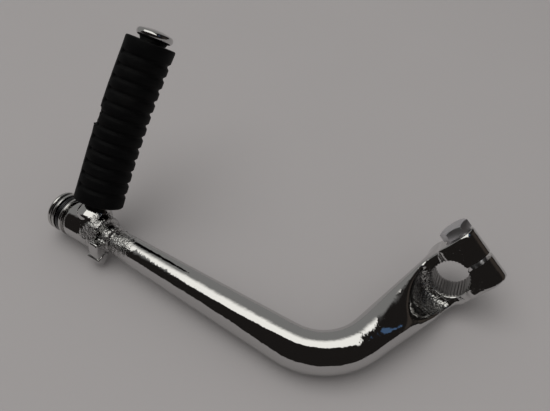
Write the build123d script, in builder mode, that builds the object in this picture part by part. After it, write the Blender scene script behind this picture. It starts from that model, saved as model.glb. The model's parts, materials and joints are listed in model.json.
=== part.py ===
from build123d import *
from math import cos, pi, radians, sin, tan
import os

# Kick start lever, lying as it rests on a bench. Millimetres, +Z up from the bench.
# The origin is the centre of the serrated bore that clamps on the kick shaft.
# Seen from -Y, the arm runs left from the boss, bends at the elbow, and carries the pedal at its far end.

# Lie of the arm: its run from the bore to the corner of the bend, and on to the pedal's pivot
short_run = 74.26
short_heading = 218.31
short_rise = -4.32
long_run = 137.0
long_heading = 145.5
long_rise = 0.88

# Bore axis: it leaves the boss towards the front, rising, and the ears are rolled about it
bore_heading = 247.0
bore_rise = 25.6
ear_roll = 49.0

# Pedal: how far its folded rod leans up from the bench, and how far it swings out from there
pedal_lean = 52.0
fold_range = 100.0

# Bar of the arm
bar_radius_boss = 13.0
bar_radius_elbow = 9.5
bar_radius_pivot = 6.7
bend_radius = 28.0

# Boss ring and its serrated bore
ring_radius = 13.0
ring_length = 18.0
ring_edge = 1.0
serrations = 36
crest_radius = 8.0
root_radius = 8.55
crest_share = 0.48
mouth_gap = 0.4
spot_radius = 13.4
spot_depth = 40.0
slit_width = 1.8

# Clamp ears, rounded about the bolt
ear_proud = 1.0
ear_thickness = 14.4
ear_start = 2.5
ear_upper = 13.6
ear_lower = 12.4
ear_edge = 1.1
bolt_offset = 13.2

# Pinch bolt
bolt_radius = 4.0
bolt_flats = 12.0
bolt_head = 4.2
bolt_head_chamfer = 0.7
bolt_face_thick = 0.6
bolt_turn = 34.0
bolt_hole_gap = 0.2
bolt_thread_gap = 0.05
bolt_past_ear = 1.2
bolt_tip_chamfer = 0.7

# Pedal forging: hub, stop tooth, root, rod and mushroom head
hub_radius = 9.4
hub_inner = 10.8
hub_outer = 10.6
hub_edge = 1.2
hub_face_radius = 8.2
hub_face = 0.9
rod_root_low = 8.4
rod_root_neck = 7.2
rod_root_rise = 2.5
rod_root_top = 7.2
rod_radius = 6.0
rod_neck = 0.8
head_radius = 9.1
head_cone = 2.2
head_dome = 3.0
head_rim = 1.2

# Rubber sleeve
rubber_start = 14.0
rubber_length = 80.0
rubber_end_radius = 12.0
rubber_rib_radius = 11.9
rubber_end_edge = 0.7
rubber_ribs = 11
rubber_groove_depth = 1.3
rubber_groove_width = 1.9
rubber_collar_low = 5.2
rubber_collar_top = 6.2
rubber_gap = 0.05
strip_width = 80.0
strip_centre = 10.0
nick_height = 51.0
nick_length = 9.5
nick_depth = 1.4
nick_width = 12.0

# Spigot, its collar, and the two lugs between which the hub's tooth swings
spigot_radius = 5.8
spigot_past_clip = 1.8
spigot_chamfer = 0.8
running_gap = 0.06
side_gap = 0.3
collar_radius = 7.0
collar_length = 5.4
lug_corner = 2.0
near_lug_start = 216.0
near_lug_width = 46.0
near_lug_radius = 12.4
far_lug_width = 30.0
far_lug_radius = 8.8
far_lug_corner = 1.0
tooth_width = 27.0
tooth_radius = 13.2
tooth_corner = 1.5
tooth_root = 2.5
stop_play = 1.5

# Washer stack on the spigot, from the hub outwards
washer_radius = 9.8
washer_gap = 0.08
stack_play = 0.05
inner_washer_thick = 1.4
disc_spring_radius = 9.4
disc_spring_thick = 0.9
disc_spring_cone = 0.8
outer_washer_thick = 1.4
shim_radius = 8.9
shim_thick = 1.1
end_washer_thick = 1.8
end_washer_edge = 0.8
circlip_thick = 1.2
circlip_depth = 0.9
circlip_rim = 1.7
circlip_opening = 50.0
circlip_ear_radius = 1.5
circlip_eye_radius = 0.8
circlip_gap = 0.05


# Direction by its heading from +X and its rise from the bench
def bearing(heading, rise):
    level = cos(radians(rise))
    return Vector(level * cos(radians(heading)), level * sin(radians(heading)), sin(radians(rise)))


# Boss plane: z along the bore towards the front, x towards the ears, y towards the bolt's head
bore_axis = bearing(bore_heading, bore_rise)
boss_level = Plane(origin=(0, 0, 0), x_dir=Vector(0, 0, 1).cross(bore_axis), z_dir=bore_axis)
ear_dir = boss_level.x_dir * cos(radians(ear_roll)) + boss_level.y_dir * sin(radians(ear_roll))
boss_plane = Plane(origin=(0, 0, 0), x_dir=ear_dir, z_dir=bore_axis)

# Pivot plane: z along the spigot away from the arm, x along the folded pedal's rod
elbow_corner = bearing(short_heading, short_rise) * short_run
pivot_axis = bearing(long_heading, long_rise)
pivot = elbow_corner + pivot_axis * long_run
level_dir = pivot_axis.cross(Vector(0, 0, 1)).normalized()
upright_dir = level_dir.cross(pivot_axis)
rod_axis = level_dir * cos(radians(pedal_lean)) + upright_dir * sin(radians(pedal_lean))
pivot_plane = Plane(origin=pivot, x_dir=rod_axis, z_dir=pivot_axis)

# Rod plane: z along the pedal's rod, x along the spigot away from the arm
rod_plane = Plane(origin=pivot, x_dir=pivot_axis, z_dir=rod_axis)
rod_section = Plane(origin=pivot, x_dir=pivot_axis, z_dir=pivot_axis.cross(rod_axis))
spigot_section = Plane(origin=pivot, x_dir=rod_axis, z_dir=rod_axis.cross(pivot_axis))

# Ear plane: z along the bolt towards its head, from the lower ear's underside
ring_front = ring_length / 2
ear_front = ring_front + ear_proud
ear_end_radius = ear_thickness / 2
ear_reach = bolt_offset + ear_thickness
ear_plane = Plane(
    origin=boss_plane.from_local_coords((0, -ear_lower, ear_front - ear_end_radius)),
    x_dir=boss_plane.x_dir,
    z_dir=boss_plane.y_dir,
)

# Serration: a groove's mouth is what the crest lands leave of the pitch
groove_mouth = 2 * pi * crest_radius / serrations * (1 - crest_share)
groove_floor = groove_mouth / 3
groove_sink = root_radius - crest_radius
mouth_radius = root_radius + mouth_gap

# Levels along the spigot and turns about it, in the pivot plane
collar_face = -hub_inner - side_gap
collar_back = collar_face - collar_length
tooth_start = near_lug_start - stop_play - tooth_width
far_lug_start = tooth_start - fold_range - stop_play - far_lug_width
hub_tooth_base = -hub_inner + tooth_root
inner_washer_base = hub_outer + hub_face + stack_play
spring_base = inner_washer_base + inner_washer_thick
spring_height = disc_spring_thick + disc_spring_cone
outer_washer_base = spring_base + 2 * spring_height
shim_base = outer_washer_base + outer_washer_thick
end_washer_base = shim_base + shim_thick
circlip_base = end_washer_base + end_washer_thick
groove_width = circlip_thick + 2 * circlip_gap
spigot_end = circlip_base + groove_width + spigot_past_clip
washer_bore = spigot_radius + washer_gap
groove_radius = spigot_radius - circlip_depth

# Levels along the rod, in the rod plane
root_neck_level = rubber_start - rod_root_rise
rubber_top = rubber_start + rubber_length
head_base = rubber_top + rod_neck
head_edge = head_base + head_cone
head_top = head_edge + head_rim + head_dome
dome_radius = (head_radius**2 + head_dome**2) / (2 * head_dome)

# Bar: the flare into the boss, the bend, and the long taper to the collar
to_boss = (elbow_corner * -1).normalized()
bend_turn = 180.0 - to_boss.get_angle(pivot_axis)
bend_run = bend_radius * tan(radians(bend_turn / 2))
bend_boss = elbow_corner + to_boss * bend_run
bend_pivot = elbow_corner + pivot_axis * bend_run
bend_middle = (to_boss + pivot_axis).normalized()
bend_centre = elbow_corner + bend_middle * (bend_radius / cos(radians(bend_turn / 2)))
bend_axis = Axis(bend_centre, (bend_boss - bend_centre).cross(to_boss * -1))
bar_tip = pivot + pivot_axis * collar_back
from_base = (Align.CENTER, Align.CENTER, Align.MIN)


# Sector of a disc, its two outer corners rounded
def sector(plane, radius, start, angle, corner=0):
    with BuildSketch(plane) as made:
        with BuildLine():
            rim = CenterArc((0, 0), radius, start, angle)
            Line((0, 0), rim @ 0)
            Line(rim @ 1, (0, 0))
        make_face()
        if corner:
            fillet(made.vertices().sort_by_distance(plane.origin)[1:], radius=corner)
    return made.sketch


# Boss ring with broken rims
with BuildPart() as boss:
    with BuildSketch(boss_plane.offset(-ring_front)):
        Circle(ring_radius)
    extrude(amount=ring_length)
    chamfer(boss.edges().filter_by(GeomType.CIRCLE), length=ring_edge)

# Clamp ears: one block rounded about the bolt, slit later
with BuildPart() as ears:
    with BuildSketch(ear_plane):
        with Locations((bolt_offset, 0)):
            Circle(ear_end_radius)
        with Locations(((ear_start + bolt_offset) / 2, 0)):
            Rectangle(bolt_offset - ear_start, ear_thickness)
    extrude(amount=ear_lower + ear_upper)
    ear_caps = ears.faces().filter_by(ear_plane)
    chamfer(ear_caps.edges(), length=ear_edge)

# Arm: bar, boss, ears, serrated bore, slit, collar, lugs and spigot in one forging
with BuildPart() as arm:
    with Locations(Plane(origin=bend_boss, z_dir=to_boss)):
        Cone(bar_radius_elbow, bar_radius_boss, bend_boss.length, align=from_base)
    with BuildSketch(Plane(origin=bend_boss, z_dir=to_boss)):
        Circle(bar_radius_elbow)
    revolve(axis=bend_axis, revolution_arc=bend_turn)
    with Locations(Plane(origin=bend_pivot, z_dir=pivot_axis)):
        Cone(bar_radius_elbow, bar_radius_pivot, (bar_tip - bend_pivot).length, align=from_base)
    add(boss.part)
    # Spot face: the flare is cut back round the bore at the front, and flush at the back
    with BuildSketch(boss_plane.offset(ring_front)):
        Circle(spot_radius)
    extrude(amount=spot_depth, mode=Mode.SUBTRACT)
    with BuildSketch(boss_plane.offset(-ring_front)):
        Circle(2 * spot_radius)
    extrude(amount=-ring_length, mode=Mode.SUBTRACT)
    add(ears.part)
    # Serrated bore: crest lands on the bore circle, with a groove between each pair
    with BuildSketch(boss_plane.offset(-ring_length)):
        Circle(crest_radius)
        with PolarLocations(0, serrations):
            Polygon(
                (crest_radius - groove_sink, -groove_mouth / 2),
                (crest_radius, -groove_mouth / 2),
                (root_radius, -groove_floor / 2),
                (root_radius, groove_floor / 2),
                (crest_radius, groove_mouth / 2),
                (crest_radius - groove_sink, groove_mouth / 2),
                align=None,
            )
    extrude(amount=2 * ring_length, mode=Mode.SUBTRACT)
    # The ears stand proud of the ring, so the front mouth is opened through them
    with BuildSketch(boss_plane.offset(ring_front)):
        Circle(mouth_radius)
    extrude(amount=2 * ear_proud, mode=Mode.SUBTRACT)
    # Slit between the ears
    with BuildSketch(boss_plane.offset(-ring_length)):
        with Locations((ear_reach / 2, 0)):
            Rectangle(ear_reach, slit_width)
    extrude(amount=2 * ring_length, mode=Mode.SUBTRACT)
    # Bolt hole: thread diameter in the lower ear, clear in the upper one
    with BuildSketch(ear_plane):
        with Locations((bolt_offset, 0)):
            Circle(bolt_radius + bolt_thread_gap)
    extrude(amount=ear_lower, mode=Mode.SUBTRACT)
    with BuildSketch(ear_plane.offset(ear_lower)):
        with Locations((bolt_offset, 0)):
            Circle(bolt_radius + bolt_hole_gap)
    extrude(amount=ear_upper, mode=Mode.SUBTRACT)
    # Collar, lugs and spigot, with the circlip's groove
    lug_plane = pivot_plane.offset(collar_back)
    with BuildSketch(lug_plane):
        Circle(collar_radius)
    extrude(amount=collar_length)
    near_lug = sector(lug_plane, near_lug_radius, near_lug_start, near_lug_width, lug_corner)
    extrude(near_lug, amount=collar_length)
    far_lug = sector(lug_plane, far_lug_radius, far_lug_start, far_lug_width, far_lug_corner)
    extrude(far_lug, amount=collar_length)
    with BuildSketch(pivot_plane.offset(collar_face)):
        Circle(spigot_radius)
    extrude(amount=spigot_end - collar_face)
    spigot_rim = arm.edges().filter_by(GeomType.CIRCLE).sort_by(Axis(pivot, pivot_axis))[-1]
    chamfer(spigot_rim, length=spigot_chamfer)
    with BuildSketch(pivot_plane.offset(circlip_base)):
        Circle(2 * spigot_radius)
        Circle(groove_radius, mode=Mode.SUBTRACT)
    extrude(amount=groove_width, mode=Mode.SUBTRACT)
arm.part.label = "arm"

# Pinch bolt: hexagon head with chamfered corners, washer face and shank
with BuildPart() as pinch_bolt:
    head_plane = ear_plane.offset(ear_lower + ear_upper)
    with BuildSketch(head_plane.offset(bolt_face_thick)):
        with Locations((bolt_offset, 0)):
            RegularPolygon(bolt_flats / 2, 6, major_radius=False, rotation=bolt_turn)
    extrude(amount=bolt_head)
    head_corners = pinch_bolt.faces().sort_by(Axis((0, 0, 0), ear_plane.z_dir))[-1].edges()
    chamfer(head_corners, length=bolt_head_chamfer / 2, length2=bolt_head_chamfer)
    with BuildSketch(head_plane):
        with Locations((bolt_offset, 0)):
            Circle(bolt_flats / 2 - bolt_hole_gap)
    extrude(amount=bolt_face_thick)
    with BuildSketch(ear_plane.offset(-bolt_past_ear)):
        with Locations((bolt_offset, 0)):
            Circle(bolt_radius)
    extrude(amount=bolt_past_ear + ear_lower + ear_upper)
    tip_rim = pinch_bolt.edges().filter_by(GeomType.CIRCLE).sort_by(Axis((0, 0, 0), ear_plane.z_dir))[0]
    chamfer(tip_rim, length=bolt_tip_chamfer)
pinch_bolt.part.label = "pinch_bolt"

# Pedal: rod root, rod and mushroom head turned as one, on a hub that runs on the spigot
with BuildPart() as pedal:
    with BuildSketch(rod_section):
        with BuildLine():
            stem = Polyline(
                (0, 0),
                (rod_root_low, 0),
                (rod_root_neck, root_neck_level),
                (rod_root_top, rubber_start),
                (rod_radius, rubber_start),
                (rod_radius, head_base),
                (head_radius, head_edge),
                (head_radius, head_edge + head_rim),
            )
            dome = RadiusArc(stem @ 1, (0, head_top), -dome_radius)
            Line(dome @ 1, stem @ 0)
        make_face()
    revolve(axis=Axis(pivot, rod_axis))
    # Hub: a barrel with broken rims and a thrust face
    with BuildSketch(spigot_section) as barrel:
        with Locations((hub_radius / 2, (hub_outer - hub_inner) / 2)):
            Rectangle(hub_radius, hub_outer + hub_inner)
        chamfer(barrel.vertices().group_by(Axis(pivot, rod_axis))[-1], length=hub_edge)
    revolve(axis=Axis(pivot, pivot_axis))
    with BuildSketch(pivot_plane.offset(hub_outer)):
        Circle(hub_face_radius)
    extrude(amount=hub_face)
    # Stop tooth on the arm's side, clear of the collar and stopped by a lug at each end of the swing
    tooth = sector(pivot_plane.offset(hub_tooth_base), tooth_radius, tooth_start, tooth_width, tooth_corner)
    extrude(tooth, amount=collar_back - hub_tooth_base)
    with BuildSketch(pivot_plane.offset(-hub_inner)):
        Circle(collar_radius + side_gap)
    extrude(amount=-2 * collar_length, mode=Mode.SUBTRACT)
    with BuildSketch(pivot_plane.offset(-hub_inner)):
        Circle(spigot_radius + running_gap)
    extrude(amount=hub_inner + hub_outer + hub_face, mode=Mode.SUBTRACT)
pedal.part.label = "pedal"

# Rubber sleeve: end collars, ribs broken by a smooth strip, and a torn spot in that strip
with BuildPart() as pedal_rubber:
    with BuildSketch(rod_plane.offset(rubber_start)):
        Circle(rubber_end_radius)
    extrude(amount=rubber_length)
    chamfer(pedal_rubber.edges().filter_by(GeomType.CIRCLE), length=rubber_end_edge)
    with BuildSketch(rod_plane.offset(rubber_start + rubber_collar_low)):
        Circle(2 * rubber_end_radius)
        Circle(rubber_rib_radius, mode=Mode.SUBTRACT)
    extrude(amount=rubber_length - rubber_collar_low - rubber_collar_top, mode=Mode.SUBTRACT)
    with BuildSketch(rod_plane.offset(rubber_start)):
        Circle(rod_radius + rubber_gap)
    extrude(amount=rubber_length, mode=Mode.SUBTRACT)
    strip_edge = radians(strip_centre + strip_width / 2)
    groove_dir = rod_plane.x_dir * cos(strip_edge) + rod_plane.y_dir * sin(strip_edge)
    rib_run = rubber_length - rubber_collar_low - rubber_collar_top - rubber_groove_width
    with BuildSketch(Plane(origin=pivot, x_dir=groove_dir, z_dir=groove_dir.cross(rod_axis))):
        for groove in range(rubber_ribs + 1):
            height = rubber_start + rubber_collar_low + rubber_groove_width / 2 + rib_run * groove / rubber_ribs
            with Locations((rubber_rib_radius, height)):
                Rectangle(2 * rubber_groove_depth, rubber_groove_width)
    revolve(axis=Axis(pivot, rod_axis), revolution_arc=360 - strip_width, mode=Mode.SUBTRACT)
    nick_curve = (nick_length**2 / 4 + nick_depth**2) / (2 * nick_depth)
    with BuildSketch(rod_section):
        with Locations((rubber_rib_radius - nick_depth + nick_curve, nick_height)):
            Circle(nick_curve)
    extrude(amount=nick_width / 2, both=True, mode=Mode.SUBTRACT)
pedal_rubber.part.label = "pedal_rubber"

# Washers: plain rings on the spigot, the end one with broken edges
def washer(base, thickness, radius, edge_cut=0):
    with BuildPart() as plain:
        with BuildSketch(pivot_plane.offset(base)):
            Circle(radius)
            Circle(washer_bore, mode=Mode.SUBTRACT)
        extrude(amount=thickness)
        if edge_cut:
            rims = plain.edges().filter_by(GeomType.CIRCLE).group_by(SortBy.RADIUS)[-1]
            chamfer(rims, length=edge_cut)
    return plain


inner_washer = washer(inner_washer_base, inner_washer_thick, washer_radius)
inner_washer.part.label = "inner_washer"
outer_washer = washer(outer_washer_base, outer_washer_thick, washer_radius)
outer_washer.part.label = "outer_washer"
shim = washer(shim_base, shim_thick, shim_radius)
shim.part.label = "shim"
end_washer = washer(end_washer_base, end_washer_thick, washer_radius, end_washer_edge)
end_washer.part.label = "end_washer"


# Disc springs: two dished rings, rim to rim, that press the hub against the shoulder
def disc_spring(seat, way):
    with BuildPart() as spring:
        with BuildSketch(spigot_section):
            Polygon(
                (washer_bore, seat),
                (disc_spring_radius, seat + way * disc_spring_cone),
                (disc_spring_radius, seat + way * spring_height),
                (washer_bore, seat + way * disc_spring_thick),
                align=None,
            )
        revolve(axis=Axis(pivot, pivot_axis))
    return spring


inner_disc_spring = disc_spring(spring_base, 1)
inner_disc_spring.part.label = "inner_disc_spring"
outer_disc_spring = disc_spring(outer_washer_base, -1)
outer_disc_spring.part.label = "outer_disc_spring"

# Circlip: an open ring in the spigot's groove, with an eye at each end
with BuildPart() as circlip:
    clip_ends = {"start_angle": -circlip_opening / 2, "angular_range": circlip_opening, "endpoint": True}
    clip_middle = spigot_radius + circlip_rim / 2
    with BuildSketch(pivot_plane.offset(circlip_base + circlip_gap)):
        Circle(spigot_radius + circlip_rim)
        add(sector(Plane.XY, 2 * spigot_radius, -circlip_opening / 2, circlip_opening), mode=Mode.SUBTRACT)
        with PolarLocations(clip_middle, 2, **clip_ends):
            Circle(circlip_ear_radius)
        with PolarLocations(clip_middle, 2, **clip_ends):
            Circle(circlip_eye_radius, mode=Mode.SUBTRACT)
        Circle(groove_radius + circlip_gap, mode=Mode.SUBTRACT)
    extrude(amount=circlip_thick)
circlip.part.label = "circlip"

os.makedirs("parts", exist_ok=True)
for piece in (
    arm,
    pinch_bolt,
    pedal,
    pedal_rubber,
    inner_washer,
    inner_disc_spring,
    outer_disc_spring,
    outer_washer,
    shim,
    end_washer,
    circlip,
):
    export_step(piece.part, f"parts/{piece.part.label}.step")
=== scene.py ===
import bmesh
import bpy
import json
from math import cos, exp, pi, radians, sin, tan
from mathutils import Matrix, Vector, noise


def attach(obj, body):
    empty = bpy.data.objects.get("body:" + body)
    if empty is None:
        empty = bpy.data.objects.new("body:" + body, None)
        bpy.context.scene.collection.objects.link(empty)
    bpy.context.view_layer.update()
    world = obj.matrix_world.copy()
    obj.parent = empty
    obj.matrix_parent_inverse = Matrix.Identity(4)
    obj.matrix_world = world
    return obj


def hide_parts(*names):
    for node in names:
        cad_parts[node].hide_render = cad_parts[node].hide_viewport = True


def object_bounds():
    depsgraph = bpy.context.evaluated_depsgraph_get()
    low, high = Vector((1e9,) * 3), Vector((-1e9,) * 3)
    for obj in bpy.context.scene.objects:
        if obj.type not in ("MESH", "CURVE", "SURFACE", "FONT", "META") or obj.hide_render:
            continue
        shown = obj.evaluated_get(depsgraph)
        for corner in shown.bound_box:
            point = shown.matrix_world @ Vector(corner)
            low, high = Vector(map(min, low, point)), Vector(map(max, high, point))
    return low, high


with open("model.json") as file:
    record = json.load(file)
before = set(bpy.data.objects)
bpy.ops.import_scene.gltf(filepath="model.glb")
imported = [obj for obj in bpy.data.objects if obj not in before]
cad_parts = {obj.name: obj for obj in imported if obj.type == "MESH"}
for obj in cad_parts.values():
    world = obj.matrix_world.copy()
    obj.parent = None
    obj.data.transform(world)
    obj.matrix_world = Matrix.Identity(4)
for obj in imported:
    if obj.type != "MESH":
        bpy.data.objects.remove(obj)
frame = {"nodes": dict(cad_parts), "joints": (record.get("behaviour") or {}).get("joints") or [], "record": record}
cadLow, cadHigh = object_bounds()
mm = 0.001
print("frame loaded:", len(frame["nodes"]), "nodes")

# Lie of the lever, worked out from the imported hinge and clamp
hinge = frame["joints"][0]
clamp = frame["record"]["mounts"][0]
pivot = Vector(hinge["pos_m"])
pivotAxis = -Vector(hinge["axis"])
boreAxis = -Vector(clamp["axis"])
lie = {
    "longRun": 137.0,  # from the corner of the arm's bend to the pivot
    "pedalLean": 52.0,  # folded rod above the bench, degrees
    "earRoll": 49.0,  # turn of the ears about the bore, degrees
}
elbow = pivot - pivotAxis * lie["longRun"] * mm


def placeOf(origin, along, across):
    z = along.normalized()
    x = (across - z * across.dot(z)).normalized()
    place = Matrix((x, z.cross(x), z)).transposed().to_4x4()
    place.translation = origin
    return place


def turnedTowards(first, second, degrees):
    return first * cos(radians(degrees)) + second * sin(radians(degrees))


levelDir = pivotAxis.cross(Vector((0, 0, 1))).normalized()
rodAxis = turnedTowards(levelDir, levelDir.cross(pivotAxis), lie["pedalLean"])
bossLevel = Vector((0, 0, 1)).cross(boreAxis).normalized()
earDir = turnedTowards(bossLevel, boreAxis.cross(bossLevel), lie["earRoll"])
bossPlace = placeOf(Vector((0, 0, 0)), boreAxis, earDir)  # z along the bore, x to the ears
pivotPlace = placeOf(pivot, pivotAxis, rodAxis)  # z along the spigot, x along the rod
rodPlace = placeOf(pivot, rodAxis, pivotAxis)  # z along the rod, x along the spigot


# Mesh helpers
def meshFrom(made, name):
    mesh = bpy.data.meshes.new(name)
    made.to_mesh(mesh)
    made.free()
    return mesh


def afterModifier(base, kind, settings):
    body = bpy.data.objects.new("shaping", meshFrom(base, "shaping"))
    bpy.context.scene.collection.objects.link(body)
    modifier = body.modifiers.new(kind, kind)
    for key, value in settings.items():
        setattr(modifier, key, value)
    graph = bpy.context.evaluated_depsgraph_get()
    shaped = bpy.data.meshes.new_from_object(body.evaluated_get(graph))
    made = bmesh.new()
    made.from_mesh(shaped)
    rough = body.data
    bpy.data.objects.remove(body)
    bpy.data.meshes.remove(rough)
    bpy.data.meshes.remove(shaped)
    return made


def joined(base, tool, operation):
    other = bpy.data.objects.new("cutter", meshFrom(tool, "cutter"))
    bpy.context.scene.collection.objects.link(other)
    made = afterModifier(base, "BOOLEAN", {"operation": operation, "solver": "EXACT", "object": other})
    rough = other.data
    bpy.data.objects.remove(other)
    bpy.data.meshes.remove(rough)
    return made


def gathered(*shells):
    made = bmesh.new()
    for shell in shells:
        made.from_mesh(meshFrom(shell, "shell"))
    return made


def forged(shells, voxel, rounds):
    made = afterModifier(gathered(*shells), "REMESH", {"mode": "VOXEL", "voxel_size": voxel * mm})
    for _ in range(rounds):
        bmesh.ops.smooth_vert(
            made, verts=made.verts, factor=0.5, use_axis_x=True, use_axis_y=True, use_axis_z=True
        )
    return made


def turned(points, place, steps=128, closed=False):
    made = bmesh.new()
    corners = [made.verts.new((r * mm, 0, z * mm)) for r, z in points]
    pairs = list(zip(corners, corners[1:]))
    if closed:
        pairs.append((corners[-1], corners[0]))
    edges = [made.edges.new(pair) for pair in pairs]
    bmesh.ops.spin(
        made, geom=corners + edges, cent=(0, 0, 0), axis=(0, 0, 1), angle=2 * pi, steps=steps, use_merge=True
    )
    bmesh.ops.remove_doubles(made, verts=made.verts, dist=1e-7)
    bmesh.ops.recalc_face_normals(made, faces=made.faces)
    made.transform(place)
    return made


def sectorBlock(place, inner, outer, low, high, start, angle):
    made = bmesh.new()
    section = ((inner, low), (outer, low), (outer, high), (inner, high))
    corners = [made.verts.new((r * mm, 0, z * mm)) for r, z in section]
    face = made.faces.new(corners)
    bmesh.ops.rotate(made, cent=(0, 0, 0), matrix=Matrix.Rotation(radians(start), 3, "Z"), verts=made.verts)
    bmesh.ops.spin(made, geom=[face], cent=(0, 0, 0), axis=(0, 0, 1), angle=radians(angle), steps=16)
    bmesh.ops.holes_fill(made, edges=made.edges, sides=0)
    bmesh.ops.recalc_face_normals(made, faces=made.faces)
    made.transform(place)
    return made


def eased(corners, cut, steps=4):
    points = []
    for last, corner, following in zip(corners[-1:] + corners[:-1], corners, corners[1:] + corners[:1]):
        here = Vector(corner)
        start = here + (Vector(last) - here).normalized() * cut
        end = here + (Vector(following) - here).normalized() * cut
        for step in range(steps + 1):
            share = step / steps
            points.append(start.lerp(here, share).lerp(here.lerp(end, share), share))
    return points


def cylinder(place, radius, low, high, segments=96):
    return turned(((0, low), (radius, low), (radius, high), (0, high)), place, segments)


def softened(made, width, minAngle, segments):
    edges = [e for e in made.edges if len(e.link_faces) == 2 and e.calc_face_angle() > radians(minAngle)]
    bmesh.ops.bevel(
        made, geom=edges, offset=width * mm, segments=segments, profile=0.5, affect="EDGES", material=-1,
        clamp_overlap=True,
    )
    return made


def addPiece(name, made, body, surface, node, sharpAngle=35):
    shape = meshFrom(made, name)
    shape.materials.append(surface)
    shape.shade_smooth()
    shape.set_sharp_from_angle(angle=radians(sharpAngle))
    shown = bpy.data.objects.new(name, shape)
    bpy.context.scene.collection.objects.link(shown)
    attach(shown, body)
    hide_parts(node)
    print(name, "has", len(shape.polygons), "faces")


# Shader sums: a socket that Python's operators can work on
class Flow:
    def __init__(self, tree, socket=None):
        self.tree = tree
        self.socket = socket

    def node(self, kind, settings=None, sockets=None, output=0):
        made = self.tree.nodes.new(kind)
        for key, value in (settings or {}).items():
            setattr(made, key, value)
        for key, value in (sockets or {}).items():
            if isinstance(value, Flow):
                self.tree.links.new(value.socket, made.inputs[key])
            else:
                made.inputs[key].default_value = value
        return Flow(self.tree, made.outputs[output])

    def math(self, operation, *values):
        return self.node("ShaderNodeMath", {"operation": operation}, dict(enumerate(values)))

    def __add__(self, other):
        return self.math("ADD", self, other)

    __radd__ = __add__

    def __sub__(self, other):
        return self.math("SUBTRACT", self, other)

    def __rsub__(self, other):
        return self.math("SUBTRACT", other, self)

    def __mul__(self, other):
        return self.math("MULTIPLY", self, other)

    def __truediv__(self, other):
        return self.math("DIVIDE", self, other)

    def least(self, other):
        return self.math("MAXIMUM", self, other)

    def ease(self, low, high):
        settings = {"interpolation_type": "SMOOTHSTEP"}
        return self.node("ShaderNodeMapRange", settings, {"Value": self, "From Min": low, "From Max": high})

    def grain(self, scale, detail=2.0, rough=0.5):
        sockets = {"Vector": self, "Scale": scale, "Detail": detail, "Roughness": rough}
        return self.node("ShaderNodeTexNoise", None, sockets)

    def away(self, point):
        settings = {"operation": "DISTANCE"}
        return self.node("ShaderNodeVectorMath", settings, {0: self, 1: point}, "Value")

    def along(self, direction):
        settings = {"operation": "DOT_PRODUCT"}
        return self.node("ShaderNodeVectorMath", settings, {0: self, 1: direction}, "Value")

    def blendTo(self, first, second):
        settings = {"data_type": "RGBA"}
        return self.node("ShaderNodeMix", settings, {0: self, 6: first, 7: second}, 2)

    def bump(self, strength, distance):
        return self.node("ShaderNodeBump", None, {"Strength": strength, "Distance": distance, "Height": self})


def newSurface(name, constants):
    surface = bpy.data.materials.new(name)
    surface.use_nodes = True
    tree = surface.node_tree
    shader = tree.nodes["Principled BSDF"]
    for key, value in constants.items():
        shader.inputs[key].default_value = value
    spot = Flow(tree).node("ShaderNodeTexCoord", output="Object")
    return surface, spot


def feed(surface, **links):
    shader = surface.node_tree.nodes["Principled BSDF"]
    for key, flow in links.items():
        surface.node_tree.links.new(flow.socket, shader.inputs[key.replace("_", " ")])


# Chrome on the forgings: a wavy plated skin, pitted, with rough patches left by the forging, and painted shade
# darkening the bore
chrome = {
    "colour": (0.56, 0.557, 0.552, 1),
    "dullColour": (0.40, 0.395, 0.385, 1),
    "waveScale": 80.0,
    "waveHeight": 0.5,
    "fineHeight": 0.18,
    "pitScale": 900.0,
    "pitHeight": 0.008,
    "speckDepth": 0.02,
    "patchHeight": 1.2,
    "patchFray": 4.0,  # how far a patch's edge wanders, mm
    "bumpDepth": 0.5,
    "roughSkin": 0.035,
    "roughSpeck": 0.12,
    "roughPatch": 0.12,
    "boreShadeColour": (0.21, 0.205, 0.20, 1),  # painted shade on the bore's wall
    "boreRough": 0.25,
    "boreWall": (8.62, 8.75),  # where the painted shade gives way to the chrome, mm from the bore's axis
}


def forgingChrome(name, patches, bored=False):
    surface, spot = newSurface(name, {"Metallic": 1.0})
    wave = spot.grain(chrome["waveScale"], 1.0)
    fine = spot.grain(chrome["waveScale"] * 4, 2.0)
    pits = spot.grain(chrome["pitScale"], 2.0, 0.6)
    coarse = spot.grain(chrome["pitScale"] * 0.9, 2.0, 0.6)
    patch = None
    for point, inside, outside in patches:
        fray = (fine - 0.5) * (chrome["patchFray"] * mm)
        one = 1 - (spot.away(point) + fray).ease(inside * mm, outside * mm)
        patch = one if patch is None else patch.least(one)
    speck = pits.ease(0.68, 0.76)
    dull = (patch * coarse.ease(0.35, 0.7)).least(speck * 0.35)
    height = wave * chrome["waveHeight"] + fine * chrome["fineHeight"] + pits * chrome["pitHeight"]
    height = height - speck * chrome["speckDepth"] + patch * coarse * chrome["patchHeight"]
    normal = height.bump(1.0, chrome["bumpDepth"] * mm)
    rough = chrome["roughSkin"] + speck * chrome["roughSpeck"] + patch * chrome["roughPatch"] * coarse
    colour = dull.blendTo(chrome["colour"], chrome["dullColour"])
    # painted shade: the bore's wall gets a darker colour than the chrome, and is also made rougher
    if bored:
        reach, along = spot.away((0, 0, 0)), spot.along(boreAxis)
        squared = reach * reach - along * along
        wallFrom, wallTo = chrome["boreWall"]
        boreShade = 1 - squared.math("SQRT", squared).ease(wallFrom * mm, wallTo * mm)
        colour = boreShade.blendTo(colour, chrome["boreShadeColour"])
        rough = rough + boreShade * chrome["boreRough"]
    feed(surface, Base_Color=colour, Roughness=rough, Normal=normal)
    return surface


turnedSteel = {
    "bright": (0.56, 0.555, 0.545, 1),
    "bolt": (0.62, 0.62, 0.64, 1),
    "dark": (0.055, 0.055, 0.058, 1),
    "latheRate": 9000,  # of the tool's fine rings
    "cloudScale": 260.0,
    "smearScale": 1400.0,
    "stainShade": 0.6,
    "bumpDepth": 0.02,
}


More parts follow.
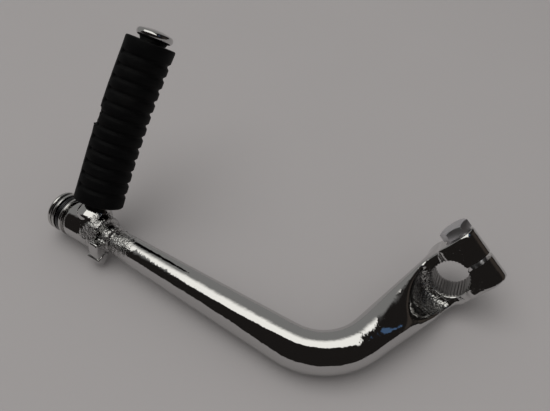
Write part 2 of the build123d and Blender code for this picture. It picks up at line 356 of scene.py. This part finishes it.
def ringSteel(name, colour, rough, axisPlace):
    surface, spot = newSurface(name, {"Metallic": 1.0})
    across = spot.away(tuple(axisPlace.translation)) * turnedSteel["latheRate"]
    lathe = across.math("SINE", across)
    cloud = spot.grain(turnedSteel["cloudScale"], 3.0)
    smear = spot.grain(turnedSteel["smearScale"], 2.0)
    stain = cloud.ease(0.5, 0.75)
    dark = tuple(turnedSteel["stainShade"] * c for c in colour[:3]) + (1,)
    height = lathe * 0.3 + smear * 0.5
    feed(
        surface,
        Base_Color=(stain * 0.7).blendTo(colour, dark),
        Roughness=rough + cloud * 0.08 + smear * 0.05,
        Normal=height.bump(0.2, turnedSteel["bumpDepth"] * mm),
    )
    return surface


rubberLook = {
    "colour": (0.0016, 0.0016, 0.0018, 1),
    "dust": (0.0045, 0.0043, 0.0041, 1),
    "rough": 0.62,
    "cloudScale": 120.0,
    "skinScale": 1800.0,
    "scuffScale": 420.0,
    "bumpDepth": 0.08,
}


def blackRubber(name):
    surface, spot = newSurface(name, {"Specular IOR Level": 0.1})
    cloud = spot.grain(rubberLook["cloudScale"], 3.0)
    skin = spot.grain(rubberLook["skinScale"], 3.0, 0.6)
    scuff = spot.grain(rubberLook["scuffScale"], 4.0, 0.7)
    dust = cloud.ease(0.45, 0.8) * 0.6 + scuff.ease(0.62, 0.78) * 0.5
    height = skin * 0.5 + scuff * 0.6
    feed(
        surface,
        Base_Color=dust.blendTo(rubberLook["colour"], rubberLook["dust"]),
        Roughness=rubberLook["rough"] + (cloud - 0.5) * 0.25,
        Normal=height.bump(0.5, rubberLook["bumpDepth"] * mm),
    )
    return surface


# Rough patches: middle, full inside and gone outside these distances, mm
spotPatch = (tuple(boreAxis * 12 * mm - earDir * 11 * mm), 8, 12)
collarPatch = (tuple(pivot - pivotAxis * 21 * mm), 7, 14)
hubPatch = (tuple(pivot - pivotAxis * 9 * mm), 9, 13)
armChrome = forgingChrome("armChrome", [spotPatch, collarPatch], bored=True)
pedalChrome = forgingChrome("pedalChrome", [hubPatch])
washerChrome = ringSteel("washerChrome", turnedSteel["bright"], 0.06, pivotPlace)
springSteel = ringSteel("springSteel", turnedSteel["dark"], 0.2, pivotPlace)
boltSteel = ringSteel("boltSteel", turnedSteel["bolt"], 0.3, bossPlace)
sleeveRubber = blackRubber("sleeveRubber")
print("materials made")

# Arm: bar, boss and ears forged as one skin, then bored, slit and drilled
bar = {
    "radiusBoss": 13.0,
    "radiusElbow": 9.5,
    "radiusPivot": 6.7,
    "bendRadius": 28.0,
    "collarBack": -16.5,
    "segments": 120,
    "longSteps": 40,
    "bendSteps": 32,
    "flareSteps": 30,
    "voxel": 0.6,
    "rounds": 2,
    "bendFlatWay": Vector((-0.155, -0.70, 0.70)),  # side on which the bend is forged flatter
    "bendFlatReach": 26.0,  # half the width of that flat, in degrees about the bar
    "flareFlatWay": Vector((-0.167, -0.417, 0.913)),  # the same on the flare
    "flareFlatReach": 47.0,
    "flareFlatFrom": 0.08,  # share of the flare where its flat begins to take over
    "flareFlatOver": 0.27,
}
boss = {
    "radius": 13.0,
    "front": 9.0,
    "spotRadius": 12.6,
    "spotWiden": 0.2,  # the spot face's wall leans out
    "spotReach": 40.0,
    "spotSmoothing": 70,  # rounds of smoothing on the flare round the spot face
    "spotSmoothFrom": -4.0,
    "crest": 8.0,
    "root": 8.55,
    "teeth": 36,
    "mouth": 8.95,
    "mouthSpare": 0.3,  # the chamfer's cutter stays this far inside the teeth
    "slit": 1.8,
    "slitLength": 40,
    "slitHeight": 60,
}
ears = {
    "thickness": 14.4,
    "proud": 1.0,
    "start": 2.5,
    "upper": 13.6,
    "lower": 12.4,
    "boltAt": 12.7,
    "hole": 4.15,
    "drillReach": 30,
    "voxel": 0.52,
    "rounds": 8,
}
spigot = {
    "radius": 5.8,
    "end": 23.75,
    "chamfer": 0.8,
    "grooveLow": 20.65,
    "grooveHigh": 21.95,
    "grooveRadius": 4.9,
    "collarRadius": 7.0,
    "collarFace": -11.1,
    "sunk": 3,  # how far the pin runs into the collar
    "lugs": ((12.4, 216.0, 46.0), (8.8, 56.0, 30.0)),  # radius, start and width in degrees
    "lugRoot": 1.0,
}


def barStations():
    toBoss = -elbow.normalized()
    turn = pi - toBoss.angle(pivotAxis)
    bendRun = bar["bendRadius"] * mm * tan(turn / 2)
    bendAxis = pivotAxis.cross(toBoss).normalized()
    tip = pivot + pivotAxis * bar["collarBack"] * mm
    bendStart = elbow + pivotAxis * bendRun
    bendEnd = elbow + toBoss * bendRun
    centre = bendStart + bendAxis.cross(-pivotAxis) * -bar["bendRadius"] * mm
    stations = []
    for step in range(bar["longSteps"] + 1):
        share = step / bar["longSteps"]
        radius = bar["radiusPivot"] + (bar["radiusElbow"] - bar["radiusPivot"]) * share
        reach = bar["bendFlatReach"] * max(0, 2 * share - 1)
        stations.append((tip.lerp(bendStart, share), -pivotAxis, radius, bar["bendFlatWay"], reach))
    for step in range(1, bar["bendSteps"] + 1):
        swing = Matrix.Rotation(-turn * step / bar["bendSteps"], 3, bendAxis)
        at = centre + swing @ (bendStart - centre)
        way = swing @ -pivotAxis
        stations.append((at, way, bar["radiusElbow"], bar["bendFlatWay"], bar["bendFlatReach"]))
    for step in range(1, bar["flareSteps"] + 1):
        share = step / bar["flareSteps"]
        radius = bar["radiusElbow"] + (bar["radiusBoss"] - bar["radiusElbow"]) * share
        blend = min(1, max(0, (share - bar["flareFlatFrom"]) / bar["flareFlatOver"]))
        flatWay = bar["bendFlatWay"].lerp(bar["flareFlatWay"], blend)
        reach = bar["bendFlatReach"] + (bar["flareFlatReach"] - bar["bendFlatReach"]) * blend
        stations.append((bendEnd.lerp(Vector((0, 0, 0)), share), toBoss, radius, flatWay, reach))
    return stations


def sweptBar():
    made = bmesh.new()
    bmesh.ops.create_circle(made, segments=bar["segments"], radius=1)
    loop = made.edges[:]
    rings = [made.verts[:]]
    for _ in barStations()[1:]:
        grown = bmesh.ops.extrude_edge_only(made, edges=loop)["geom"]
        rings.append([g for g in grown if isinstance(g, bmesh.types.BMVert)])
        loop = [g for g in grown if isinstance(g, bmesh.types.BMEdge) and g.is_boundary]
    for ring, (at, way, radius, flatWay, reach) in zip(rings, barStations()):
        place = placeOf(at, way, flatWay)
        depth = cos(radians(reach))
        for vert in ring:
            vert.co *= min(1, depth / max(vert.co.x, 0.01))
        bmesh.ops.transform(made, matrix=place @ Matrix.Scale(radius * mm, 4), verts=ring)
    bmesh.ops.holes_fill(made, edges=made.edges, sides=0)
    bmesh.ops.recalc_face_normals(made, faces=made.faces)
    return made


def earBlock():
    half = ears["thickness"] / 2
    boltPlace = bossPlace @ Matrix.Translation(
        Vector((ears["boltAt"], 0, boss["front"] + ears["proud"] - half)) * mm
    ) @ Matrix.Rotation(-pi / 2, 4, "X")
    nose = cylinder(boltPlace, half, -ears["lower"], ears["upper"])
    block = bmesh.new()
    length = ears["boltAt"] - ears["start"]
    size = Matrix.Diagonal((length * mm, ears["thickness"] * mm, (ears["upper"] + ears["lower"]) * mm, 1))
    shift = Matrix.Translation(Vector((-length / 2, 0, (ears["upper"] - ears["lower"]) / 2)) * mm)
    bmesh.ops.create_cube(block, size=1, matrix=boltPlace @ shift @ size)
    return [nose, block], boltPlace


def serratedCutter():
    made = bmesh.new()
    bmesh.ops.create_circle(made, cap_ends=True, segments=4 * boss["teeth"], radius=boss["crest"] * mm)
    made.verts.index_update()
    grooves = [v for v in made.verts if v.index % 4 > 1]
    bmesh.ops.scale(made, vec=(boss["root"] / boss["crest"],) * 3, verts=grooves)
    bmesh.ops.translate(made, vec=(0, 0, -2 * boss["front"] * mm), verts=made.verts)
    grown = bmesh.ops.extrude_face_region(made, geom=made.faces[:])["geom"]
    lifted = [g for g in grown if isinstance(g, bmesh.types.BMVert)]
    bmesh.ops.translate(made, vec=(0, 0, 4 * boss["front"] * mm), verts=lifted)
    bmesh.ops.recalc_face_normals(made, faces=made.faces)
    made.transform(bossPlace)
    return made


def mouthCutter():
    front, mouth, spare = boss["front"], boss["mouth"], boss["mouthSpare"]
    flare = mouth - boss["crest"]
    profile = (
        (0, -2 * front), (mouth, -2 * front), (mouth, -front),
        (boss["crest"] - spare, -front + flare + spare), (boss["crest"] - spare, front - flare - spare),
        (mouth, front), (mouth, 2 * front), (0, 2 * front),
    )
    return turned(profile, bossPlace, 144)


def slitCutter():
    made = bmesh.new()
    size = Matrix.Diagonal((boss["slitLength"] * mm, boss["slit"] * mm, boss["slitHeight"] * mm, 1))
    shift = Matrix.Translation((boss["slitLength"] / 2 * mm, 0, 0))
    bmesh.ops.create_cube(made, size=1, matrix=bossPlace @ shift @ size)
    return made


def buildArm():
    ring = cylinder(bossPlace, boss["radius"], -boss["front"], boss["front"])
    core = forged([sweptBar(), ring], bar["voxel"], bar["rounds"])
    spot, front, reach = boss["spotRadius"], boss["front"], boss["spotReach"]
    wide = spot + boss["spotWiden"] * (reach - front)
    spotFace = turned(((0, front), (spot, front), (wide, reach), (0, reach)), bossPlace)
    backCut = cylinder(bossPlace, 2 * boss["radius"], -reach, -front)
    core = joined(core, spotFace, "DIFFERENCE")
    core = joined(core, backCut, "DIFFERENCE")
    core = afterModifier(core, "REMESH", {"mode": "VOXEL", "voxel_size": bar["voxel"] * mm})
    toBossPlace = bossPlace.inverted()
    for _ in range(boss["spotSmoothing"]):
        spots = [(v, toBossPlace @ v.co) for v in core.verts]
        flare = [v for v, at in spots if at.x < boss["spotSmoothFrom"] * mm and at.z > 0]
        bmesh.ops.smooth_vert(
            core, verts=flare, factor=0.5, use_axis_x=True, use_axis_y=True, use_axis_z=True
        )
    earShells, boltPlace = earBlock()
    face, back = spigot["collarFace"], bar["collarBack"]
    collar = cylinder(pivotPlace, spigot["collarRadius"], back, face)
    lugs = []
    for outer, start, angle in spigot["lugs"]:
        lugs.append(sectorBlock(pivotPlace, spigot["lugRoot"], outer, back, face, start, angle))
    made = forged([core, collar, *earShells, *lugs], ears["voxel"], ears["rounds"])
    r, end, groove = spigot["radius"], spigot["end"], spigot["grooveRadius"]
    low, high, cut = spigot["grooveLow"], spigot["grooveHigh"], spigot["chamfer"]
    foot = face - spigot["sunk"]
    profile = (
        (0, foot), (r, foot), (r, low), (groove, low), (groove, high), (r, high),
        (r, end - cut), (r - cut, end), (0, end),
    )
    made = joined(made, turned(profile, pivotPlace), "UNION")
    drill = cylinder(boltPlace, ears["hole"], -ears["drillReach"], ears["drillReach"], 64)
    # The slit comes first, while the skin is whole
    for tool in (slitCutter(), drill, serratedCutter(), mouthCutter()):
        made = joined(made, tool, "DIFFERENCE")
    addPiece("armForging", made, "lever", armChrome, "arm", 40)
    return boltPlace


boltPlace = buildArm()

# Pinch bolt: hexagon head with its corners turned off, washer face and a plain shank
bolt = {
    "flats": 12.0,
    "head": 4.2,
    "face": 0.6,
    "faceRadius": 5.8,
    "radius": 4.0,
    "past": 1.2,
    "turn": 34.0,
    "cornerSpare": 3,
    "cornerDrop": 1.75,
    "topInset": 0.25,
    "tipChamfer": 0.7,
    "neck": 0.3,
    "faceOverlap": 0.2,
    "edge": 0.12,
    "edgeAngle": 28,
}


def buildBolt():
    seat = ears["upper"]
    made = bmesh.new()
    corner = bolt["flats"] / 2 / cos(pi / 6) * mm
    lift = Matrix.Translation((0, 0, (seat + bolt["face"]) * mm))
    low = boltPlace @ lift @ Matrix.Rotation(radians(bolt["turn"]), 4, "Z")
    bmesh.ops.create_circle(made, cap_ends=True, segments=6, radius=corner, matrix=low)
    grown = bmesh.ops.extrude_face_region(made, geom=made.faces[:])["geom"]
    lifted = [g for g in grown if isinstance(g, bmesh.types.BMVert)]
    bmesh.ops.translate(made, vec=boltPlace.col[2].xyz * bolt["head"] * mm, verts=lifted)
    bmesh.ops.recalc_face_normals(made, faces=made.faces)
    top = seat + bolt["face"] + bolt["head"]
    wide = bolt["flats"] / 2
    outer = wide + bolt["cornerSpare"]
    profile = (
        (0, seat), (outer, seat), (outer, top - bolt["cornerDrop"]), (wide - bolt["topInset"], top), (0, top)
    )
    made = joined(made, turned(profile, boltPlace), "INTERSECT")
    tip = -ears["lower"] - bolt["past"]
    r, cut, face = bolt["radius"], bolt["tipChamfer"], bolt["faceRadius"]
    faceTop = seat + bolt["face"] + bolt["faceOverlap"]
    profile = (
        (0, tip), (r - cut, tip), (r, tip + cut), (r, seat - bolt["neck"]),
        (r, seat), (face, seat), (face, faceTop), (0, faceTop),
    )
    made = joined(made, turned(profile, boltPlace, 64), "UNION")
    softened(made, bolt["edge"], bolt["edgeAngle"], 2)
    addPiece("hexBolt", made, "lever", boltSteel, "pinch_bolt")


buildBolt()

# Pedal: hub, root and stop tooth forged as one skin, with the rod and its mushroom head
pedal = {
    "hubRadius": 9.45,
    "hubInner": 10.8,
    "hubOuter": 10.6,
    "hubRound": 1.4,
    "flatTurn": 267.0,  # where the hub is forged flat, in degrees about the spigot from the rod
    "flatDepth": 8.55,
    "faceRadius": 8.2,
    "face": 0.9,
    "root": ((0, 0), (7.2, 0), (9.4, 6.2), (6.3, 12.0), (6.3, 14.0), (0, 14.0)),  # spreads on to the hub
    "rubberStart": 14.0,
    "rod": 6.0,
    "headBase": 93.8,
    "headRadius": 8.85,
    "headCone": 1.6,
    "headRim": 2.0,
    "headDome": 0.9,
    "bore": 5.86,
    "tooth": (13.2, 187.5, 27.0),  # radius, start and width in degrees
    "toothInner": 4.0,
    "toothRoot": 2.5,
    "rodSunk": 3,
    "collarGap": 0.3,
    "voxel": 0.4,
    "rounds": 16,
}


def roundedCorner(centre, radius, start, end, steps=8):
    turns = [radians(start + (end - start) * k / steps) for k in range(steps + 1)]
    return [(centre[0] + radius * cos(a), centre[1] + radius * sin(a)) for a in turns]


def buildPedal():
    wide, inner, outer = pedal["hubRadius"], pedal["hubInner"], pedal["hubOuter"]
    curve = pedal["hubRound"]
    barrel = [(0, -inner)]
    barrel += roundedCorner((wide - curve, curve - inner), curve, -90, 0)
    barrel += roundedCorner((wide - curve, outer - curve), curve, 0, 90)
    face, faceTop = pedal["faceRadius"], outer + pedal["face"]
    barrel += [(face, outer), (face, faceTop), (0, faceTop)]
    hub = turned(barrel, pivotPlace)
    flat = bmesh.new()
    flatWay = Matrix.Rotation(radians(pedal["flatTurn"]), 4, "Z")
    shift = Matrix.Translation(((pedal["flatDepth"] + wide) * mm, 0, 0))
    size = Matrix.Diagonal((2 * wide * mm, 4 * wide * mm, 6 * wide * mm, 1))
    bmesh.ops.create_cube(flat, size=1, matrix=pivotPlace @ flatWay @ shift @ size)
    hub = joined(hub, flat, "DIFFERENCE")
    root = turned(pedal["root"], rodPlace)
    radius, start, angle = pedal["tooth"]
    toothTop = pedal["toothRoot"] - inner
    tooth = sectorBlock(
        pivotPlace, pedal["toothInner"], radius, bar["collarBack"], toothTop, start, angle
    )
    made = forged([hub, root, tooth], pedal["voxel"], pedal["rounds"])
    edge = pedal["headBase"] + pedal["headCone"]
    rim, reach = pedal["headRim"], pedal["headRadius"] - pedal["headRim"]
    dome = (reach**2 + pedal["headDome"] ** 2) / (2 * pedal["headDome"])
    top = edge + 2 * rim + pedal["headDome"]
    foot = pedal["rubberStart"] - pedal["rodSunk"]
    profile = [(0, foot), (pedal["rod"], foot), (pedal["rod"], pedal["headBase"])]
    profile += roundedCorner((reach, edge + rim), rim, -90, 90)
    for step in range(1, 13):
        out = reach * (1 - step / 12)
        profile.append((out, top - dome + (dome**2 - out**2) ** 0.5))
    stem = turned(profile, rodPlace)
    made = joined(made, stem, "UNION")
    gapRadius = spigot["collarRadius"] + pedal["collarGap"]
    gap = cylinder(pivotPlace, gapRadius, bar["collarBack"] - 2, -inner)
    made = joined(made, gap, "DIFFERENCE")
    made = joined(made, cylinder(pivotPlace, pedal["bore"], -inner - 3, outer + 3), "DIFFERENCE")
    addPiece("pedalForging", made, "folding_pedal", pedalChrome, "pedal", 40)


buildPedal()

# Rubber sleeve: rounded ribs, a smooth strip along one side, and a torn spot in it
sleeve = {
    "start": 14.0,
    "length": 79.8,
    "endRadius": 12.0,
    "ribRadius": 11.9,
    "endRound": 0.8,
    "ribs": 11,
    "grooveDepth": 1.05,
    "grooveMouth": 2.8,
    "grooveSpread": 1.15,  # the grooves' soft shoulders reach past their mouths
    "grooveFullness": 0.8,
    "collarLow": 5.2,
    "collarTop": 6.2,
    "bore": 6.05,
    "stripCentre": 20.0,
    "stripWidth": 86.0,
    "stripFade": 4,  # degrees in which the strip gives way to the ribs
    "tearHeight": 54.0,
    "tearLength": 9.0,
    "tearDepth": 1.4,
    "tearTurn": 44.0,
    "tearWidth": 26.0,
    "tearLip": 1.1,  # torn rubber that stands up at the tear's ends
    "wobble": 0.06,
    "wobbleScale": 260,
    "bowTurn": 40.7,  # side towards which the sleeve bows and its ends spread
    "bowEnds": 0.6,
    "bowMiddle": 1.1,
    "sagLow": 1.9,
    "sagTop": 0.2,
    "sagShare": 0.1,  # share of the length at each end that sags
    "steps": 180,
}


def ribProfile():
    low = sleeve["start"] + sleeve["collarLow"]
    run = sleeve["length"] - sleeve["collarLow"] - sleeve["collarTop"] - sleeve["grooveMouth"]
    end, curve = sleeve["start"] + sleeve["length"], sleeve["endRound"]
    points = [(sleeve["bore"], sleeve["start"])]
    points += roundedCorner((sleeve["endRadius"] - curve, sleeve["start"] + curve), curve, -90, 0, 4)
    half = sleeve["grooveMouth"] / 2
    for groove in range(sleeve["ribs"] + 1):
        middle = low + half + run * groove / sleeve["ribs"]
        for step in range(-7, 8):
            share = step / 7
            sink = sleeve["grooveDepth"] * (0.5 + 0.5 * cos(pi * share)) ** sleeve["grooveFullness"]
            points.append((sleeve["ribRadius"] - sink, middle + half * sleeve["grooveSpread"] * share))
    points += roundedCorner((sleeve["endRadius"] - curve, end - curve), curve, 0, 90, 4)
    points.append((sleeve["bore"], end))
    return points


def buildSleeve():
    made = turned(ribProfile(), Matrix(), sleeve["steps"], closed=True)
    edge, fade = sleeve["stripWidth"] / 2, sleeve["stripFade"]
    ribsLow = sleeve["start"] + sleeve["collarLow"] - 1
    ribsTop = sleeve["start"] + sleeve["length"] - sleeve["collarTop"] + 1
    bowWay = Vector((cos(radians(sleeve["bowTurn"])), sin(radians(sleeve["bowTurn"]))))
    for vert in made.verts:
        radius = vert.co.xy.length / mm
        if radius < sleeve["bore"] + 1:
            continue
        turn = Vector((1, 0)).angle_signed(vert.co.xy)
        off = abs((-turn * 180 / pi - sleeve["stripCentre"] + 180) % 360 - 180)
        offTear = abs((-turn * 180 / pi - sleeve["tearTurn"] + 180) % 360 - 180)
        height = vert.co.z / mm
        wanted = radius
        if ribsLow < height < ribsTop:
            share = min(max((edge + fade / 2 - off) / fade, 0), 1)
            wanted += (sleeve["ribRadius"] - radius) * share * share * (3 - 2 * share)
        torn = noise.noise(Vector((turn * 9, height * 0.9, 3.0)))
        rise = abs(height - sleeve["tearHeight"]) / (sleeve["tearLength"] / 2) + 0.25 * torn
        side = offTear / sleeve["tearWidth"]
        if rise < 1.25 and side < 1:
            bite = min(max((1.1 - rise) / 0.25, 0), 1) * (1 - side * side)
            wanted -= sleeve["tearDepth"] * bite * (0.75 + 0.5 * torn)
            lip = exp(-((rise - 1.08) / 0.1) ** 2) * (1 - side) * max(torn + 0.3, 0)
            wanted += sleeve["tearLip"] * lip
        wobble = sleeve["wobble"] * noise.noise(vert.co * sleeve["wobbleScale"])
        vert.co.xy *= (wanted + wobble) / radius
        share = (height - sleeve["start"]) / sleeve["length"]
        lean = 0.5 + 0.5 * cos(-turn - radians(sleeve["bowTurn"]))
        bow = sleeve["bowEnds"] + sleeve["bowMiddle"] * sin(pi * min(max(share, 0), 1))
        vert.co.xy += bowWay * bow * mm
        rise = sleeve["sagTop"] * max(0, share - 1 + sleeve["sagShare"])
        drop = sleeve["sagLow"] * max(0, sleeve["sagShare"] - share)
        vert.co.z += (rise - drop) / sleeve["sagShare"] * lean * mm
    made.transform(rodPlace)
    addPiece("ribbedSleeve", made, "folding_pedal", sleeveRubber, "pedal_rubber", 60)


buildSleeve()

# Washer stack on the spigot: flat rings and two dished springs, edges broken
stack = {
    "bore": 5.88,
    # Name, node, base, thickness, radius, broken edge, slot
    "rings": (
        ("brightWasherInner", "inner_washer", 11.55, 1.4, 9.8, 0.3, "chrome"),
        ("brightWasherOuter", "outer_washer", 16.35, 1.4, 9.8, 0.3, "chrome"),
        ("darkShim", "shim", 17.75, 1.1, 8.9, 0.2, "spring_steel"),
        ("roundedEndWasher", "end_washer", 18.85, 1.8, 9.8, 0.75, "chrome"),
    ),
    # Name, node, seat, way in which the dish opens
    "springs": (
        ("dishedSpringInner", "inner_disc_spring", 12.95, 1),
        ("dishedSpringOuter", "outer_disc_spring", 16.35, -1),
    ),
    "springRadius": 9.4,
    "springThick": 0.9,
    "springCone": 0.8,
    "springEdge": 0.15,
}


def buildStack():
    looks = {"chrome": washerChrome, "spring_steel": springSteel}
    bore, wide, cone = stack["bore"], stack["springRadius"], stack["springCone"]
    for name, node, base, thick, radius, edge, slot in stack["rings"]:
        square = [(bore, base), (radius, base), (radius, base + thick), (bore, base + thick)]
        made = turned(eased(square, edge), pivotPlace, closed=True)
        addPiece(name, made, "lever", looks[slot], node)
    for name, node, seat, way in stack["springs"]:
        thick = stack["springThick"]
        dish = [
            (bore, seat), (wide, seat + way * cone),
            (wide, seat + way * (cone + thick)), (bore, seat + way * thick),
        ]
        made = turned(eased(dish, stack["springEdge"]), pivotPlace, closed=True)
        addPiece(name, made, "lever", springSteel, node)


buildStack()

clip = frame["nodes"]["circlip"]
clip.data.materials.clear()
clip.data.materials.append(springSteel)
print("pieces built")

# Floor, room light and camera
setting = {
    "floorColour": (0.345, 0.327, 0.322, 1),
    "floorLevel": cadLow.z,
    "floorHalf": 30,
    "roomDark": (0.016, 0.014, 0.013, 1),
    "roomWall": (0.27, 0.268, 0.262, 1),
    "roomSide": (0.05, 0.041, 0.035, 1),
    "panel": (1.42, 1.40, 1.33, 1),  # soft light panel overhead, and where its edges fade
    "panelFront": (-0.46, -0.38),
    "panelRear": (0.25, 0.72),
    "panelRight": (0.36, 0.42),
    "panelLeft": (-1.9, -1.3),
    "panelCorner": (0.80, 0.88),
    "coolCard": (0.075, 0.14, 0.26, 1),
    "coolCardAt": (0.67, -0.22, 0.71),
    "coolCardEdge": (0.06, 0.12),
    "fill": (0.60, 0.60, 0.60, 1),
    "keyPower": 7.0,
    "keyAt": (-0.36, 0.0, 1.25),
    "keySize": (1.3, 1.1),
    "cameraAt": (-0.0803, -0.1746, 0.2102),
    "cameraTilt": 46.0,
    "lens": 39.27,
}


def buildFloor():
    made = bmesh.new()
    bmesh.ops.create_grid(made, x_segments=1, y_segments=1, size=setting["floorHalf"])
    bmesh.ops.translate(made, vec=(0, 0, setting["floorLevel"]), verts=made.verts)
    surface, spot = newSurface("paperFloor", {"Roughness": 0.9, "Specular IOR Level": 0.2})
    fibre = spot.grain(6.0, 3.0)
    pale = tuple(1.05 * c for c in setting["floorColour"][:3]) + (1,)
    feed(surface, Base_Color=fibre.blendTo(setting["floorColour"], pale))
    shape = meshFrom(made, "paperFloor")
    shape.materials.append(surface)
    floor = bpy.data.objects.new("paperFloor", shape)
    bpy.context.scene.collection.objects.link(floor)


def buildRoom():
    world = bpy.data.worlds.new("room")
    bpy.context.scene.world = world
    world.use_nodes = True
    tree = world.node_tree
    way = Flow(tree).node("ShaderNodeTexCoord", output="Generated")
    across, back, up = way.along((1, 0, 0)), way.along((0, 1, 0)), way.along((0, 0, 1))
    lift = up.least(0.05)
    side = across / lift
    depth = back / lift
    front = (depth + side * 0.33).ease(*setting["panelFront"])
    rear = 1 - (depth + side * 0.2).ease(*setting["panelRear"])
    right = 1 - (side + depth * 0.5).ease(*setting["panelRight"])
    left = side.ease(*setting["panelLeft"])
    corner = 1 - (depth * 0.5 - side).ease(*setting["panelCorner"])
    panel = front * rear * right * left * corner * up.ease(0.1, 0.2)
    wall = back.ease(-0.15, 0.12) * (1 - up.ease(0.82, 0.93)) * (1 - across.ease(0.25, 0.5))
    room = wall.blendTo(setting["roomDark"], setting["roomWall"])
    sideWall = across.ease(0.84, 0.92) * up.ease(0.05, 0.2)
    room = sideWall.blendTo(room, setting["roomSide"])
    card = 1 - way.away(setting["coolCardAt"]).ease(*setting["coolCardEdge"])
    room = card.blendTo(room, setting["coolCard"])
    room = panel.blendTo(room, setting["panel"])
    seen = Flow(tree).node("ShaderNodeLightPath", output="Is Camera Ray")
    glossy = Flow(tree).node("ShaderNodeLightPath", output="Is Glossy Ray")
    colour = glossy.blendTo(setting["fill"], room)
    colour = seen.blendTo(colour, setting["floorColour"])
    tree.links.new(colour.socket, tree.nodes["Background"].inputs["Color"])


def buildKey():
    lamp = bpy.data.lights.new("keyLamp", "AREA")
    lamp.shape = "RECTANGLE"
    lamp.size, lamp.size_y = setting["keySize"]
    lamp.energy = setting["keyPower"]
    key = bpy.data.objects.new("keyLamp", lamp)
    key.location = setting["keyAt"]
    middle = (cadLow + cadHigh) / 2
    key.rotation_euler = (middle - key.location).to_track_quat("-Z", "Y").to_euler()
    key.visible_glossy = False
    bpy.context.scene.collection.objects.link(key)


def buildCamera():
    lens = bpy.data.cameras.new("benchCamera")
    lens.lens = setting["lens"]
    lens.clip_start = 0.01
    camera = bpy.data.objects.new("benchCamera", lens)
    camera.location = setting["cameraAt"]
    camera.rotation_euler = (radians(setting["cameraTilt"]), 0, 0)
    bpy.context.scene.collection.objects.link(camera)
    bpy.context.scene.camera = camera


buildFloor()
buildRoom()
buildKey()
buildCamera()
bpy.context.scene.view_settings.view_transform = "Standard"
print("setting built")
